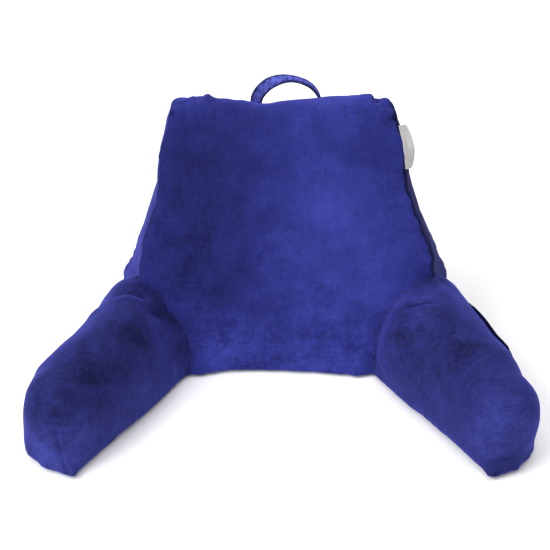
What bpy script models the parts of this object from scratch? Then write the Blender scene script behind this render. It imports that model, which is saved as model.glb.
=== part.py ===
"""Reading pillow with arms.

A wedge-shaped back cushion leans away from the reader. Two round arms grow out of its lower
front corners and splay forwards. A strap loop stands in the top seam, a folded tab in the
right side seam, and a flat pocket is sewn to the outside of the right arm.
Metres, +Z up, front towards -Y, right towards +X. Everything stands on z = 0.
"""

import math
from collections import namedtuple

import bmesh
import bpy
from mathutils import Vector

# ---------------------------------------------------------------- driving dimensions
PANEL_HEIGHT = 0.345  # front panel, along its slope, from the base seam to the top seam
PANEL_LEAN = math.radians(23)  # of the front panel, back from upright
TOP_DEPTH = 0.064  # top strip, square to the front panel
BASE_DEPTH = 0.195  # base panel, front to rear

FRONT_CROWN = 0.013  # how far each panel's filling swells past its seams
REAR_CROWN = 0.022
TOP_CROWN = 0.011
SIDE_CROWN = 0.008
BASE_SEAM_LIFT = 0.003  # the base seam rolls up off the surface
BASE_ROLL_FADE = 8  # and that roll dies away up the panels, faster with more
BASE_FLAT = 0.8  # share of the base, out from its middle, that lies flat
BASE_BOW = 0.012  # the arms draw the corners of the front base seam forward
BASE_BOW_FADE = 5
BASE_SIDE_SWELL = 0.12  # how far up the side crown's curve the base starts
TOP_EDGE_FADE = 14  # the uneven top edge evens out below the top, faster with more
FRONT_ROUND = 3.0  # how flat-topped each panel's crown is; 2 is a parabola
PANEL_ROUND = 2.6
GUSSET_ROUND = 2.2
TOP_ROUND = 30
SEAM_CROWDING = 0.45  # how far the mesh's lines are drawn together towards the seams
SEAM_ANGLE = math.radians(50)  # faces that meet at more than this meet in a seam

ARM_NOSE_SHARE = 0.66  # of the rings from root to tip, where the nose starts
ARM_ROOT_SHARE = 0.14  # of the rings, over which the hidden root rounds off
ARM_NOSE = 0.060  # how far the nose reaches past the last row
ARM_NOSE_SQUARE = 2.8  # of the nose seen from above
ARM_NOSE_OUTER_SQUARE = 1.9  # and at its outer side
ARM_CHIN_SQUARE = 3.4  # and below
ARM_NOSE_UPRIGHT = 0.6  # below 1 the front of the nose stands steeper
ARM_CORNER_SQUARE = 9.0  # the seams meet in a pointed corner, low on the inner side
ARM_CORNER_TURN = math.radians(-32)
ARM_CORNER_SPREAD = math.radians(26)
ARM_SKEW = math.radians(-6)  # the nose faces less outwards than the arm points
ARM_SINK = 0.012  # the filling spreads flat where the arm lies on the surface
ARM_FOOT_SQUARE = 3.5  # of the section below its widest place; 2 is an ellipse

STRAP_WIDTH = 0.0155
STRAP_THICK = 0.004
STRAP_SPAN = 0.078
STRAP_RISE = 0.037
STRAP_SUNK = 0.4  # radians of the arch that each end runs on inside the top
STRAP_CENTRE_X = 0.0060
STRAP_IN_FRONT = 0.012  # of the rear top seam
STRAP_TILT_LEFT = math.radians(45)  # its rear edge is raised, more at the left than the right
STRAP_TILT_RIGHT = math.radians(6)

TAB_LENGTH = 0.058
TAB_WIDTH = 0.014
TAB_THICK = 0.0016
TAB_LOW = 0.785  # share of the panel's height at which the tab starts
TAB_SEWN_IN = 0.006  # how far it runs in behind the seam
TAB_TAPER = 0.35  # share of its width that is lost towards its top
TAB_CURL = 0.004  # its free edge hangs back

POCKET_THICK = 0.0030
POCKET_ROOT = 0.002  # drawn from this far inside the arm's skin, and cut back to it
POCKET_FROM = 0.014  # along the right arm
POCKET_TO = 0.110
POCKET_FOOT_TURN = math.radians(196)  # round the arm, from its inner side up and over
POCKET_MOUTH_TURN = math.radians(140)
SEWN_GAP = 0.0004  # between pieces that are sewn together

BackRow = namedtuple("BackRow", "height front_left front_right rear_left rear_right")
BACK_ROWS = (  # share of the height, and how far the four upright seams lie from the middle
    BackRow(0.00, 0.176, 0.188, 0.222, 0.229),
    BackRow(0.07, 0.179, 0.191, 0.224, 0.231),
    BackRow(0.17, 0.182, 0.194, 0.208, 0.215),
    BackRow(0.34, 0.185, 0.1965, 0.187, 0.193),
    BackRow(0.42, 0.183, 0.1935, 0.178, 0.183),
    BackRow(0.51, 0.178, 0.183, 0.169, 0.173),
    BackRow(0.60, 0.169, 0.1715, 0.165, 0.167),
    BackRow(0.68, 0.161, 0.1605, 0.161, 0.161),
    BackRow(0.81, 0.155, 0.155, 0.155, 0.155),
    BackRow(0.92, 0.149, 0.149, 0.151, 0.151),
    BackRow(1.00, 0.143, 0.141, 0.146, 0.144),
)

TopRow = namedtuple("TopRow", "x rise")
TOP_ROWS = (  # the top edge is uneven: its rise above the even line, from left to right
    TopRow(-0.146, -0.006),
    TopRow(-0.137, 0.001),
    TopRow(-0.120, 0.001),
    TopRow(-0.103, 0.005),
    TopRow(-0.086, -0.001),
    TopRow(-0.050, -0.001),
    TopRow(-0.022, -0.004),
    TopRow(0.000, -0.001),
    TopRow(0.039, 0.002),
    TopRow(0.090, 0.005),
    TopRow(0.111, 0.004),
    TopRow(0.119, 0.000),
    TopRow(0.135, -0.001),
    TopRow(0.144, -0.005),
)

ArmRow = namedtuple("ArmRow", "along inner outer ridge height belly square in_belly in_square")
LEFT_ARM_ROWS = (  # along the axis from where it passes under the front seam; how far the
    # section reaches to its inner and its outer side; where its top lies towards the inner
    # side; its height; the share of it at which it is widest, and how square the top is, at
    # the outer and then at the inner side
    ArmRow(-0.110, 0.042, 0.100, -0.045, 0.058, 0.15, 2.0, 0.15, 2.0),
    ArmRow(-0.070, 0.046, 0.099, -0.048, 0.090, 0.15, 2.0, 0.08, 1.8),
    ArmRow(-0.045, 0.051, 0.098, -0.046, 0.103, 0.15, 2.0, 0.05, 1.75),
    ArmRow(-0.018, 0.051, 0.092, -0.030, 0.111, 0.20, 2.0, 0.06, 1.75),
    ArmRow(0.020, 0.055, 0.078, -0.008, 0.120, 0.26, 2.0, 0.18, 1.85),
    ArmRow(0.070, 0.058, 0.068, 0.000, 0.120, 0.30, 2.0, 0.30, 2.0),
    ArmRow(0.115, 0.057, 0.062, 0.000, 0.115, 0.30, 2.3, 0.30, 2.3),
    ArmRow(0.150, 0.057, 0.045, 0.002, 0.108, 0.30, 2.8, 0.30, 2.8),
)
RIGHT_ARM_ROWS = (
    ArmRow(-0.110, 0.038, 0.098, -0.045, 0.060, 0.15, 2.0, 0.15, 2.0),
    ArmRow(-0.070, 0.039, 0.100, -0.045, 0.090, 0.15, 2.0, 0.15, 2.2),
    ArmRow(-0.045, 0.042, 0.100, -0.045, 0.112, 0.15, 2.0, 0.15, 2.4),
    ArmRow(-0.018, 0.057, 0.094, -0.030, 0.120, 0.20, 2.0, 0.20, 2.4),
    ArmRow(0.020, 0.060, 0.081, -0.008, 0.126, 0.26, 2.0, 0.24, 2.3),
    ArmRow(0.070, 0.057, 0.069, 0.000, 0.120, 0.30, 2.0, 0.30, 2.0),
    ArmRow(0.115, 0.056, 0.059, 0.000, 0.113, 0.30, 2.3, 0.30, 2.3),
    ArmRow(0.150, 0.056, 0.039, 0.002, 0.105, 0.30, 2.8, 0.30, 2.8),
)

Arm = namedtuple("Arm", "name side axis_x splay rows")
ARMS = (  # side is -1 for left; the axis passes axis_x under the front seam; splay is
    # outwards of forwards
    Arm("arm_left", -1, 0.180, math.radians(35.5), LEFT_ARM_ROWS),
    Arm("arm_right", 1, 0.180, math.radians(34.5), RIGHT_ARM_ROWS),
)

Cloth = namedtuple("Cloth", "name colour roughness")
VELOUR = Cloth("royal_blue_velour", (0.030, 0.032, 0.210, 1.0), 0.85)
TAPE = Cloth("pale_grey_tape", (0.62, 0.60, 0.57, 1.0), 0.75)


# ---------------------------------------------------------------- small helpers
def mix(a, b, share):
    return a + (b - a) * share


def read(rows, column, at):
    """A column of a table at any place, along a smooth curve through its rows."""
    places = [row[0] for row in rows]
    values = [getattr(row, column) for row in rows]
    at = min(max(at, places[0]), places[-1])
    last = len(rows) - 2
    i = next((k for k in range(last) if at < places[k + 1]), last)
    span = places[i + 1] - places[i]
    t = (at - places[i]) / span

    def slope(k):
        low, high = max(k - 1, 0), min(k + 1, len(rows) - 1)
        return (values[high] - values[low]) / (places[high] - places[low])

    return (
        (1 + 2 * t) * (1 - t) ** 2 * values[i]
        + t * (1 - t) ** 2 * span * slope(i)
        + t * t * (3 - 2 * t) * values[i + 1]
        + t * t * (t - 1) * span * slope(i + 1)
    )


def puff(share, roundness):
    """How far a panel swells at a share of its width: 0 at both seams, 1 in the middle."""
    return 1 - abs(2 * share - 1) ** roundness


def crowd(share):
    """Moves evenly spaced grid lines a little towards both seams."""
    return mix(share, (1 - math.cos(math.pi * share)) / 2, SEAM_CROWDING)


def material(cloth):
    made = bpy.data.materials.new(cloth.name)
    made.use_nodes = True
    shader = made.node_tree.nodes["Principled BSDF"]
    shader.inputs["Base Color"].default_value = cloth.colour
    shader.inputs["Roughness"].default_value = cloth.roughness
    shader.inputs["Metallic"].default_value = 0.0
    made.diffuse_color = cloth.colour
    return made


def add_object(name, grid, where, cloth):
    """An object of this name from a bmesh, which is used up. Its bent faces are split here, so
    that a cutter copied from it is split the same way."""
    bmesh.ops.recalc_face_normals(grid, faces=grid.faces)
    bmesh.ops.triangulate(grid, faces=grid.faces)
    if grid.calc_volume(signed=True) < 0:
        bmesh.ops.reverse_faces(grid, faces=grid.faces)
    mesh = bpy.data.meshes.new(name)
    grid.to_mesh(mesh)
    grid.free()
    mesh.shade_smooth()
    mesh.set_sharp_from_angle(angle=SEAM_ANGLE)
    made = bpy.data.objects.new(name, mesh)
    where.objects.link(made)
    mesh.materials.append(material(cloth))
    return made


def block_grid(counts):
    """A cube primitive from 0 to 1 each way, with counts faces along X, Y and Z."""
    grid = bmesh.new()
    bmesh.ops.create_cube(grid, size=1)
    bmesh.ops.translate(grid, vec=(0.5, 0.5, 0.5), verts=grid.verts)
    for axis, count in enumerate(counts):
        along = [
            edge
            for edge in grid.edges
            if abs(edge.verts[0].co[axis] - edge.verts[1].co[axis]) > 0.5
        ]
        bmesh.ops.subdivide_edges(grid, edges=along, cuts=count - 1, use_grid_fill=True)
    return grid


def cut_by(piece, cutter, solver="EXACT"):
    cut = piece.modifiers.new("clear_of_" + cutter.name, "BOOLEAN")
    cut.operation = "DIFFERENCE"
    cut.solver = solver
    cut.object = cutter


# ---------------------------------------------------------------- back cushion
PANEL_UP = Vector((0, math.sin(PANEL_LEAN), math.cos(PANEL_LEAN)))
PANEL_OUT = Vector((0, -math.cos(PANEL_LEAN), math.sin(PANEL_LEAN)))
FRONT_TOP = PANEL_UP * PANEL_HEIGHT
REAR_TOP = FRONT_TOP - PANEL_OUT * TOP_DEPTH
REAR_BASE = Vector((0, BASE_DEPTH, 0))


def back_point(across, deep, high):
    """The cushion's surface at shares of its block: 0 to 1 from left to right, front to rear
    and base to top. A share of exactly 0 or 1 is a panel, and two of them are a seam."""
    side = 2 * across - 1
    left = mix(read(BACK_ROWS, "front_left", high), read(BACK_ROWS, "rear_left", high), deep)
    right = mix(read(BACK_ROWS, "front_right", high), read(BACK_ROWS, "rear_right", high), deep)
    point = mix(FRONT_TOP * high, mix(REAR_BASE, REAR_TOP, high), deep)
    point.x = mix(-left, right, across)
    point += PANEL_UP * read(TOP_ROWS, "rise", point.x) * high**TOP_EDGE_FADE
    point.y -= BASE_BOW * side**2 * (1 - high) ** BASE_BOW_FADE * (1 - deep)

    if deep == 0:
        swell = puff(across, FRONT_ROUND) * puff(high, PANEL_ROUND)
        point += PANEL_OUT * FRONT_CROWN * swell
    if deep == 1:
        point.y += REAR_CROWN * puff(across, PANEL_ROUND) * puff(high, PANEL_ROUND)
    if across in (0, 1):
        swell = puff(deep, GUSSET_ROUND) * puff(mix(BASE_SIDE_SWELL, 1, high), PANEL_ROUND)
        point.x += side * SIDE_CROWN * swell
    if high == 1:
        point += PANEL_UP * TOP_CROWN * puff(deep, GUSSET_ROUND) * puff(across, TOP_ROUND)
    if high == 0:
        from_middle = max(abs(side), abs(2 * deep - 1))
        point.z = BASE_SEAM_LIFT * max(0, (from_middle - BASE_FLAT) / (1 - BASE_FLAT)) ** 2
    else:
        point.z = max(point.z, 0) + BASE_SEAM_LIFT * (1 - high) ** BASE_ROLL_FADE
    return point


def build_back(where):
    grid = block_grid((22, 8, 18))
    for vertex in grid.verts:
        across, deep, high = (crowd(share) for share in vertex.co)
        vertex.co = back_point(*(round(share, 6) for share in (across, deep, high)))
    return add_object("back", grid, where, VELOUR)


def build_cutter(piece, where):
    """The piece a hair larger all round, so that what is cut by it keeps the sewn gap."""
    cutter = bpy.data.objects.new(piece.name + "_cutter", piece.data.copy())
    where.objects.link(cutter)
    grow = cutter.modifiers.new("grow", "DISPLACE")
    grow.mid_level = 0
    grow.strength = SEWN_GAP
    cutter.hide_render = True
    cutter.display_type = "WIRE"
    return cutter


# ---------------------------------------------------------------- arms
def arm_frame(arm):
    """Where the arm's axis starts, its direction, and the direction to its inner side."""
    along = Vector((arm.side * math.sin(arm.splay), -math.cos(arm.splay), 0))
    inner = Vector((-arm.side * math.cos(arm.splay), -math.sin(arm.splay), 0))
    return Vector((arm.side * arm.axis_x, 0, 0)), along, inner


def oval(turn, square):
    """Cosine and sine of a turn on an oval: 2 is an ellipse, more is squarer."""
    power = 2 / square
    cosine, sine = math.cos(turn), math.sin(turn)
    return (
        math.copysign(abs(cosine) ** power, cosine),
        math.copysign(abs(sine) ** power, sine),
    )


def arm_section(arm, along, turn, wide=1.0, tall=1.0, proud=0.0):
    """A point of the section at a place along the arm: (towards the inner side, up).
    turn is the angle from the inner side up over the top."""
    height = read(arm.rows, "height", along)
    ridge = read(arm.rows, "ridge", along)
    inside = "in_" if math.cos(turn) >= 0 else ""
    belly = height * read(arm.rows, inside + "belly", along)
    over = math.sin(turn) >= 0
    square = read(arm.rows, inside + "square", along) if over else ARM_FOOT_SQUARE
    cosine, sine = oval(turn, square)
    rise = height - belly if over else belly + ARM_SINK
    if cosine >= 0:
        half = read(arm.rows, "inner", along) - ridge
    else:
        half = read(arm.rows, "outer", along) + ridge
    return ridge + cosine * (half * wide + proud), belly + sine * (rise * tall + proud)


def arm_reach(arm, along, across):
    """How far along the arm a point of its skin lies: the skew grows towards the nose."""
    return along + math.tan(ARM_SKEW) * across * (along / arm.rows[-1].along) ** 2


def arm_point(arm, ring, turn):
    """The arm's surface, ring by ring from the root's pole, 0, to the nose's, 1."""
    first, last = arm.rows[0].along, arm.rows[-1].along
    along = mix(first, last, min(ring / ARM_NOSE_SHARE, 1))
    wide, nose = math.sin(math.pi / 2 * min(ring / ARM_ROOT_SHARE, 1)), 0
    if ring > ARM_NOSE_SHARE:
        bend = math.pi / 2 * (ring - ARM_NOSE_SHARE) / (1 - ARM_NOSE_SHARE)
        from_corner = (turn - ARM_CORNER_TURN) / ARM_CORNER_SPREAD
        square = mix(ARM_NOSE_SQUARE, ARM_CHIN_SQUARE, max(0, -math.sin(turn)))
        square = mix(square, ARM_NOSE_OUTER_SQUARE, max(0, -math.cos(turn)))
        square = mix(square, ARM_CORNER_SQUARE, math.exp(-(from_corner**2)))
        wide, nose = oval(bend, square)
    across, up = arm_section(arm, along, turn, wide, wide**ARM_NOSE_UPRIGHT)
    start, forwards, inner = arm_frame(arm)
    reach = arm_reach(arm, along, across) + nose * ARM_NOSE
    point = start + forwards * reach + inner * across
    point.z = max(up, 0)
    return point


def build_arm(arm, cutter, where):
    grid = bmesh.new()
    bmesh.ops.create_uvsphere(grid, u_segments=36, v_segments=26, radius=1)
    for vertex in grid.verts:
        ring = math.acos(max(-1, min(1, vertex.co.z))) / math.pi
        turn = math.atan2(vertex.co.y, vertex.co.x)
        vertex.co = arm_point(arm, ring, turn)
    made = add_object(arm.name, grid, where, VELOUR)
    cut_by(made, cutter)
    return made


# ---------------------------------------------------------------- strap, tab and pocket
def build_handle(cutter, where):
    """An arch of flat strap whose ends run into the rear top seam."""
    curve = bpy.data.curves.new("handle", "CURVE")
    curve.dimensions = "3D"
    curve.twist_mode = "Z_UP"
    curve.resolution_u = 4
    curve.extrude = (STRAP_WIDTH - STRAP_THICK) / 2
    curve.bevel_depth = STRAP_THICK / 2
    curve.bevel_resolution = 1
    curve.use_fill_caps = True
    steps = 18
    spline = curve.splines.new("POLY")
    spline.points.add(steps)
    seam = REAR_TOP + PANEL_OUT * STRAP_IN_FRONT
    for i, point in enumerate(spline.points):
        turn = mix(-STRAP_SUNK, math.pi + STRAP_SUNK, i / steps)
        aside = STRAP_CENTRE_X - math.cos(turn) * STRAP_SPAN / 2
        place = seam + Vector((aside, 0, math.sin(turn) * STRAP_RISE))
        point.co = (*place, 1)
        point.tilt = -mix(STRAP_TILT_LEFT, STRAP_TILT_RIGHT, turn / math.pi)
    drawn = bpy.data.objects.new("handle_curve", curve)
    where.objects.link(drawn)
    graph = bpy.context.evaluated_depsgraph_get()
    mesh = bpy.data.meshes.new_from_object(drawn.evaluated_get(graph))
    grid = bmesh.new()
    grid.from_mesh(mesh)
    bmesh.ops.remove_doubles(grid, verts=grid.verts, dist=1e-5)
    bpy.data.objects.remove(drawn)
    bpy.data.meshes.remove(mesh)
    made = add_object("handle", grid, where, VELOUR)
    cut_by(made, cutter, "MANIFOLD")
    return made


def build_tab(cutter, where):
    """A folded tape tab that stands out of the right front seam near the top."""
    top = TAB_LOW + TAB_LENGTH / PANEL_HEIGHT
    grid = block_grid((4, 1, 8))
    for vertex in grid.verts:
        out, thick, up = vertex.co
        seam = back_point(1, 0, mix(TAB_LOW, top, up))
        reach = mix(-TAB_SEWN_IN, TAB_WIDTH * (1 - TAB_TAPER * up**3), out)
        behind = mix(0, TAB_THICK, thick) + TAB_CURL * out**2
        vertex.co = seam + Vector((reach, 0, 0)) - PANEL_OUT * behind
    made = add_object("label_tab", grid, where, TAPE)
    cut_by(made, cutter)
    return made


def build_pocket(arm, cutter, where):
    """A flat patch on the arm's outer side, open along its top edge."""
    grid = block_grid((16, 16, 1))
    start, forwards, inner = arm_frame(arm)
    for vertex in grid.verts:
        along = mix(POCKET_FROM, POCKET_TO, vertex.co.x)
        turn = mix(POCKET_FOOT_TURN, POCKET_MOUTH_TURN, vertex.co.y)
        proud = mix(-POCKET_ROOT, POCKET_THICK, vertex.co.z)
        across, up = arm_section(arm, along, turn, proud=proud)
        vertex.co = start + forwards * arm_reach(arm, along, across) + inner * across
        vertex.co.z = up
    made = add_object("pocket", grid, where, VELOUR)
    cut_by(made, cutter)
    return made


def centre_on_origin(pieces, others):
    """Moves everything so that the box round the pieces is centred on the origin."""
    graph = bpy.context.evaluated_depsgraph_get()
    points = [
        corner.co for piece in pieces for corner in piece.evaluated_get(graph).data.vertices
    ]
    low = Vector(min(point[axis] for point in points) for axis in range(3))
    high = Vector(max(point[axis] for point in points) for axis in range(3))
    for made in (*pieces, *others):
        made.location = (-(low.x + high.x) / 2, -(low.y + high.y) / 2, 0)


def main():
    for old in list(bpy.data.objects):
        bpy.data.objects.remove(old)
    pillow = bpy.data.collections.new("reading_pillow")
    cutters = bpy.data.collections.new("cutters")
    cutters.hide_render = True
    for collection in (pillow, cutters):
        bpy.context.scene.collection.children.link(collection)

    back = build_back(pillow)
    cutter = build_cutter(back, cutters)
    arms = [build_arm(arm, cutter, pillow) for arm in ARMS]
    build_handle(cutter, pillow)
    build_tab(cutter, pillow)
    build_pocket(ARMS[1], build_cutter(arms[1], cutters), pillow)
    centre_on_origin(pillow.objects, cutters.objects)


main()
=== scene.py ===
import math
from collections import namedtuple

import bmesh
import bpy
import numpy as np
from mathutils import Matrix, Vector, kdtree, noise
from mathutils.bvhtree import BVHTree


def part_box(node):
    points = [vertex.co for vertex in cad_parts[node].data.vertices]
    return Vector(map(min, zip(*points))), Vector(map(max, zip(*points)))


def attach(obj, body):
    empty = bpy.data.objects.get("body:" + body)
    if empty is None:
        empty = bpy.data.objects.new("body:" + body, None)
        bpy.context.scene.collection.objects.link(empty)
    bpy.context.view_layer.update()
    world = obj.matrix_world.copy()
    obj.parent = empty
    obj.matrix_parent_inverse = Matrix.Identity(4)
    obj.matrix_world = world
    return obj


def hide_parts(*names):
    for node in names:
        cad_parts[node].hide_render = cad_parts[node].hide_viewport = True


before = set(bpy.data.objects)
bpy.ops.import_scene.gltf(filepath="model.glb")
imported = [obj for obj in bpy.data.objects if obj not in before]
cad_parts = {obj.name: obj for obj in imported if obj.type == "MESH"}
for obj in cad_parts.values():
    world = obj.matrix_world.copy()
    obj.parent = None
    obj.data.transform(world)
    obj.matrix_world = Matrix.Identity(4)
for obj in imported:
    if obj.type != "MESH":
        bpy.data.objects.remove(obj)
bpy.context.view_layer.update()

# ---------------------------------------------------------------- sizes, in metres
TINY = 1e-9
MERGE = 1e-5
SEWN_GAP = 0.0006  # between a piece and what it is sewn to
SEAM_ANGLE = math.radians(38)  # faces that meet at more than this meet in a seam
SEAM_STEP = 0.001
NO_SEAM = 1.0  # how far off the nearest seam is taken to be where there is none
NEAR = 0.02  # how far off a point still meets the piece beside it
JOIN_REACH = 0.0012  # an arm's edge this close to the back is sewn to it
JOIN_SUNK = 0.006
FLARE = 0.0055  # how far an arm's skin spreads over the back where it is sewn on
FLARE_REACH = 0.005
FLARE_FROM = 0.002  # above the floor

HOLD_FADE = 0.014  # from a seam, where the cover is held, to where it is free to swell
HOLD_PAST_JOIN = 0.004
HOLD_BESIDE_BACK = 0.011
HOLD_FOOT = 0.004  # above the floor
HARDLY_HELD = 0.1
FULLY_HELD = 0.99
HELD_KEEPS = 0.7  # of the even swell, which the free skin loses again
BLANK_SHRINK = 0.0025  # the free skin swells, so it starts this much smaller
PRESSURE = 4
CLOTH_QUALITY = 4
LAST_FRAME = 20

WAVES = 0.055  # lengths of the loose skin's waves
FINE_WAVES = 0.024
FINE_WAVES_SHARE = 0.45
PUCKERS = 0.011  # along a seam
PUCKERS_FADE = 0.013  # and away from it
ROOT_PUCKERS = 0.016  # where an arm is sewn to the back
ROOT_PUCKERS_FADE = 0.020
ROOT_PUCKERS_MORE = 1.3
SEAM_WIDTH = 0.0026
SEAM_ROLL = 0.0004  # the skin rolls up beside a seam
SEAM_ROLL_OFF = 0.008
SEAM_ROLL_WIDTH = 0.005
REST_FADE = 0.008  # the skin is smooth where it rests on the floor
FLAT_BELOW = 0.0012

FOLD_ENDS = 0.6  # share of a fold's depth that is lost at its ends
FOLD_BESIDE = 0.30  # share of its depth by which the skin stands up beside it
FOLD_BESIDE_OFF = 2.4  # in widths of the fold
FOLD_BESIDE_WIDTH = 1.3
FOLD_LIGHT_WIDTH = 0.8

Cushion = namedtuple("Cushion", "node voxel finer cap fill slack pucker seam")
CUSHIONS = (  # blank's face size, times each face is halved, furthest swell, tightness,
    # depth of the loose skin's waves, of the seams' puckers and of the seams themselves
    Cushion("back", 0.0046, 1, 0.0060, 0.85, 0.0012, 0.0024, 0.0008),
    Cushion("arm_left", 0.0055, 2, 0.0050, 0.9, 0.0013, 0.0012, 0.0012),
    Cushion("arm_right", 0.0055, 2, 0.0050, 0.9, 0.0013, 0.0012, 0.0012),
)

Crease = namedtuple("Crease", "node x0 y0 z0 x1 y1 z1 width depth light")
CREASES = (  # folds of the skin, from one end to the other; how light the pile is drawn in them, below 0 a painted shade
    Crease("arm_left", -0.2065, 0.0100, 0.1115, -0.172, 0.0115, 0.1060, 0.0046, 0.0028, -0.8),
    Crease("arm_left", -0.1655, -0.011, 0.1003, -0.150, 0.0050, 0.0860, 0.0070, 0.0024, -0.6),
    Crease("arm_left", -0.203, -0.062, 0.118, -0.172, -0.058, 0.104, 0.0080, 0.0024, -0.5),
    Crease("arm_left", -0.188, -0.072, 0.110, -0.160, -0.062, 0.085, 0.0085, 0.0026, -0.9),
    Crease("arm_left", -0.240, -0.146, 0.105, -0.212, -0.138, 0.092, 0.0140, 0.0026, -0.5),
    Crease("arm_left", -0.223, -0.174, 0.045, -0.218, -0.168, 0.026, 0.0050, 0.0012, -0.5),
    Crease("arm_left", -0.268, -0.184, 0.093, -0.2656, -0.196, 0.053, 0.0024, 0.0008, -0.3),
    Crease("arm_left", -0.2656, -0.196, 0.053, -0.2607, -0.202, 0.017, 0.0024, 0.0010, -0.6),
    Crease("arm_left", -0.2607, -0.202, 0.017, -0.253, -0.204, 0.003, 0.0032, 0.0028, -1.0),
    Crease("arm_left", -0.273, -0.187, 0.088, -0.256, -0.187, 0.085, 0.0026, 0.0014, -0.5),
    Crease("arm_left", -0.2735, -0.190, 0.0786, -0.254, -0.191, 0.0741, 0.0026, 0.0014, -0.5),
    Crease("arm_left", -0.273, -0.193, 0.066, -0.252, -0.193, 0.063, 0.0026, 0.0012, -0.4),
    Crease("arm_right", 0.1546, -0.0087, 0.1066, 0.1737, -0.0163, 0.1191, 0.0038, 0.0042, -1.4),
    Crease("arm_right", 0.1737, -0.0163, 0.1191, 0.196, -0.021, 0.125, 0.0040, 0.0024, -0.8),
    Crease("arm_right", 0.150, -0.011, 0.097, 0.170, -0.036, 0.112, 0.0065, 0.0024, -0.5),
    Crease("arm_right", 0.160, -0.048, 0.096, 0.184, -0.061, 0.112, 0.0080, 0.0022, -0.5),
    Crease("arm_right", 0.201, 0.050, 0.111, 0.214, 0.026, 0.117, 0.0060, 0.0022, -0.5),
    Crease("arm_right", 0.253, -0.196, 0.047, 0.280, -0.195, 0.048, 0.0040, 0.0018, -0.4),
    Crease("arm_right", 0.252, -0.201, 0.023, 0.276, -0.198, 0.028, 0.0040, 0.0018, -0.5),
    Crease("arm_right", 0.262, -0.203, 0.012, 0.256, -0.204, 0.004, 0.0032, 0.0028, -1.0),
    Crease("back", -0.176, 0.031, 0.105, -0.151, 0.023, 0.0964, 0.0060, 0.0010, -0.7),
    Crease("back", -0.1026, 0.163, 0.313, -0.1016, 0.138, 0.322, 0.0038, 0.0075, -1.4),
    Crease("back", 0.1222, 0.163, 0.311, 0.1218, 0.140, 0.320, 0.0038, 0.0070, -1.3),
    Crease("back", -0.058, 0.160, 0.308, -0.058, 0.128, 0.318, 0.0055, 0.0014, -0.3),
    Crease("back", 0.086, 0.160, 0.310, 0.084, 0.128, 0.320, 0.0055, 0.0016, -0.3),
    Crease("back", -0.1380, 0.124, 0.3150, -0.1350, 0.121, 0.3140, 0.0045, 0.0040, -0.4),
    Crease("back", 0.1455, 0.122, 0.3100, 0.1430, 0.120, 0.3090, 0.0045, 0.0026, -0.3),
    Crease("back", -0.213, 0.164, 0.044, -0.190, 0.090, 0.084, 0.0045, 0.0026, -0.9),
    Crease("back", -0.205, 0.150, 0.070, -0.180, 0.080, 0.110, 0.0050, 0.0018, -0.4),
    Crease("back", 0.186, 0.090, 0.165, 0.203, 0.085, 0.115, 0.0045, 0.0026, -0.8),
)

Lump = namedtuple("Lump", "node x y z radius height")
LUMPS = (  # where the filling or a folded corner stands proud
    Lump("back", -0.139, 0.135, 0.320, 0.009, 0.0040),
    Lump("back", -0.0940, 0.143, 0.323, 0.0125, 0.0048),
    Lump("back", -0.074, 0.143, 0.3190, 0.028, 0.0048),
    Lump("back", 0.082, 0.145, 0.3230, 0.015, -0.0028),
    Lump("back", 0.108, 0.145, 0.3230, 0.013, 0.0054),
    Lump("back", 0.140, 0.133, 0.316, 0.010, 0.0026),
    Lump("back", -0.150, 0.113, 0.290, 0.016, 0.0016),
    Lump("back", 0.152, 0.112, 0.285, 0.014, 0.0016),
    Lump("arm_left", -0.2525, -0.2040, 0.006, 0.009, 0.0055),
    Lump("arm_left", -0.1640, 0.0180, 0.0980, 0.016, 0.0042),
    Lump("arm_left", -0.2000, 0.0400, 0.1080, 0.023, 0.0060),
    Lump("back", -0.1600, 0.0850, 0.2120, 0.032, -0.0026),
    Lump("back", 0.1610, 0.0850, 0.2120, 0.032, -0.0020),
    Lump("back", -0.1580, 0.1050, 0.2660, 0.012, 0.0018),
    Lump("back", 0.1590, 0.1050, 0.2640, 0.012, 0.0018),
    Lump("arm_right", 0.2560, -0.2045, 0.006, 0.009, 0.0045),
)

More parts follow.
